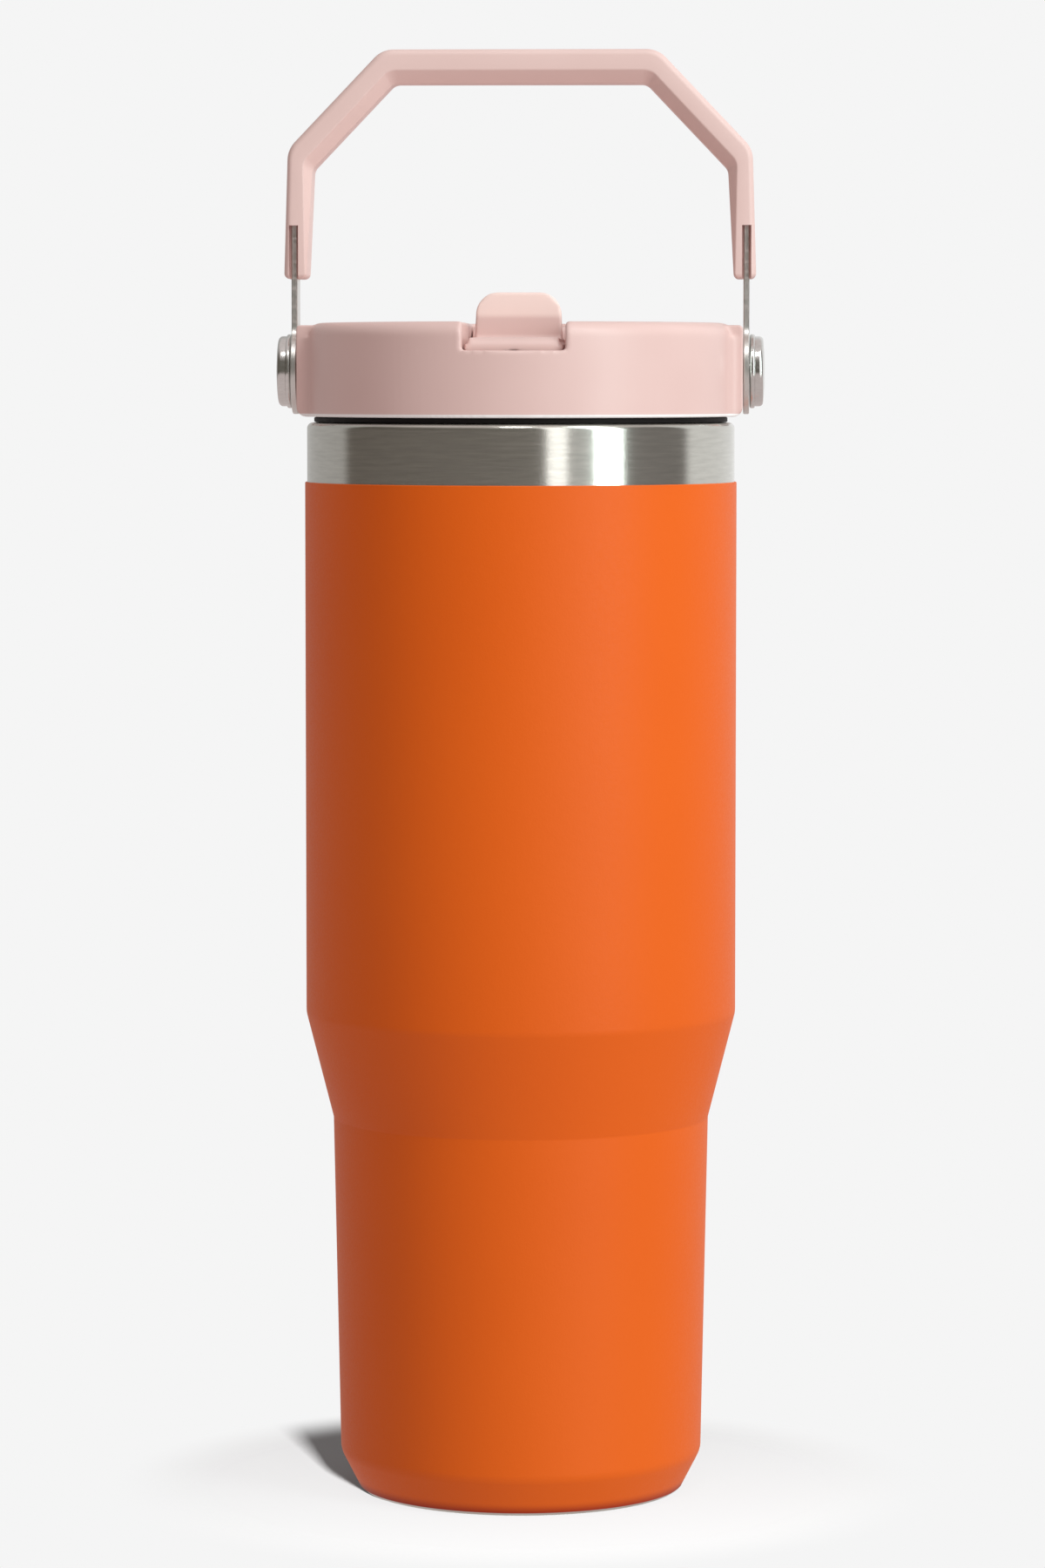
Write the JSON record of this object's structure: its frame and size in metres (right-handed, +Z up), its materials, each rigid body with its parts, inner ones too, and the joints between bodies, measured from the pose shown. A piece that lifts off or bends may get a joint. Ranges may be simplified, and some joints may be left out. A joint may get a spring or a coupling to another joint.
{
  "type": "insulated tumbler with lid",
  "caption": "Double-walled vacuum tumbler with a stepped body, bare steel rim, screw lid, flip-up straw spout and a swinging carry handle.",
  "frame": {"origin": "centre of the foot, on the surface that the tumbler stands on", "axes": "+Z up through the body's axis; -Y is the front, where the spout's tip shows; the handle pivots on an axis along X"},
  "size_m": [0.1004, 0.089, 0.2975],
  "materials": {
    "powder_coat": "fine-textured matt orange powder coat",
    "body_steel": "circumferentially brushed stainless steel",
    "liner_steel": "electropolished stainless steel",
    "polished_steel": "polished stainless steel",
    "bracket_steel": "polished plate with sheared edges",
    "getter_metal": "sintered grey pellet",
    "seal_metal": "dull sealing alloy",
    "lid_plastic": "satin moulded pale pink plastic",
    "grip_plastic": "satin moulded pale pink plastic",
    "plug_plastic": "moulded pale pink plastic",
    "dark_silicone": "dark silicone rubber",
    "pale_silicone": "milky silicone rubber",
    "straw_plastic": "translucent extruded plastic"
  },
  "bodies": {
    "bottle": {"powder_coat": "powder_coat", "outer_shell": "body_steel", "outer_base": "body_steel", "base_cover": "body_steel", "inner_liner": "liner_steel", "liner_base": "liner_steel", "getter": "getter_metal", "vacuum_seal": "seal_metal"},
    "lid_seal": {"rim_gasket": "dark_silicone"},
    "lid": {"lid_cover": "lid_plastic", "lid_base": "plug_plastic", "spout_seal": "pale_silicone", "straw_bushing": "pale_silicone", "vent_valve": "pale_silicone", "straw": "straw_plastic", "pivot_rivet_left": "polished_steel", "pivot_rivet_right": "polished_steel", "pivot_washer_left": "polished_steel", "pivot_washer_right": "polished_steel", "rivet_cap_left": "polished_steel", "rivet_cap_right": "polished_steel"},
    "spout": {"mouthpiece": "lid_plastic"},
    "handle": {"handle_grip": "grip_plastic", "bracket_left": "bracket_steel", "bracket_right": "bracket_steel"}
  },
  "joints": [
    {"name": "lid_rise", "type": "slide", "parent": "bottle", "child": "lid_seal", "axis": [0, 0, 1], "range_m": [0, 0.00625]},
    {"name": "lid_turn", "type": "hinge", "parent": "lid_seal", "child": "lid", "pos_m": [0, 0, 0.2221], "axis": [0, 0, 1], "range_deg": [0, 450]},
    {"name": "spout_flip", "type": "hinge", "parent": "lid", "child": "spout", "pos_m": [0, 0.006, 0.23305], "axis": [-1, 0, 0], "range_deg": [0, 90]},
    {"name": "handle_swing", "type": "hinge", "parent": "lid", "child": "handle", "pos_m": [0, 0, 0.2319], "axis": [1, 0, 0], "range_deg": [-122, 122]}
  ],
  "couplings": [
    {"joint": "lid_rise", "follows": "lid_turn", "m_per_rad": 0.00079577}
  ]
}
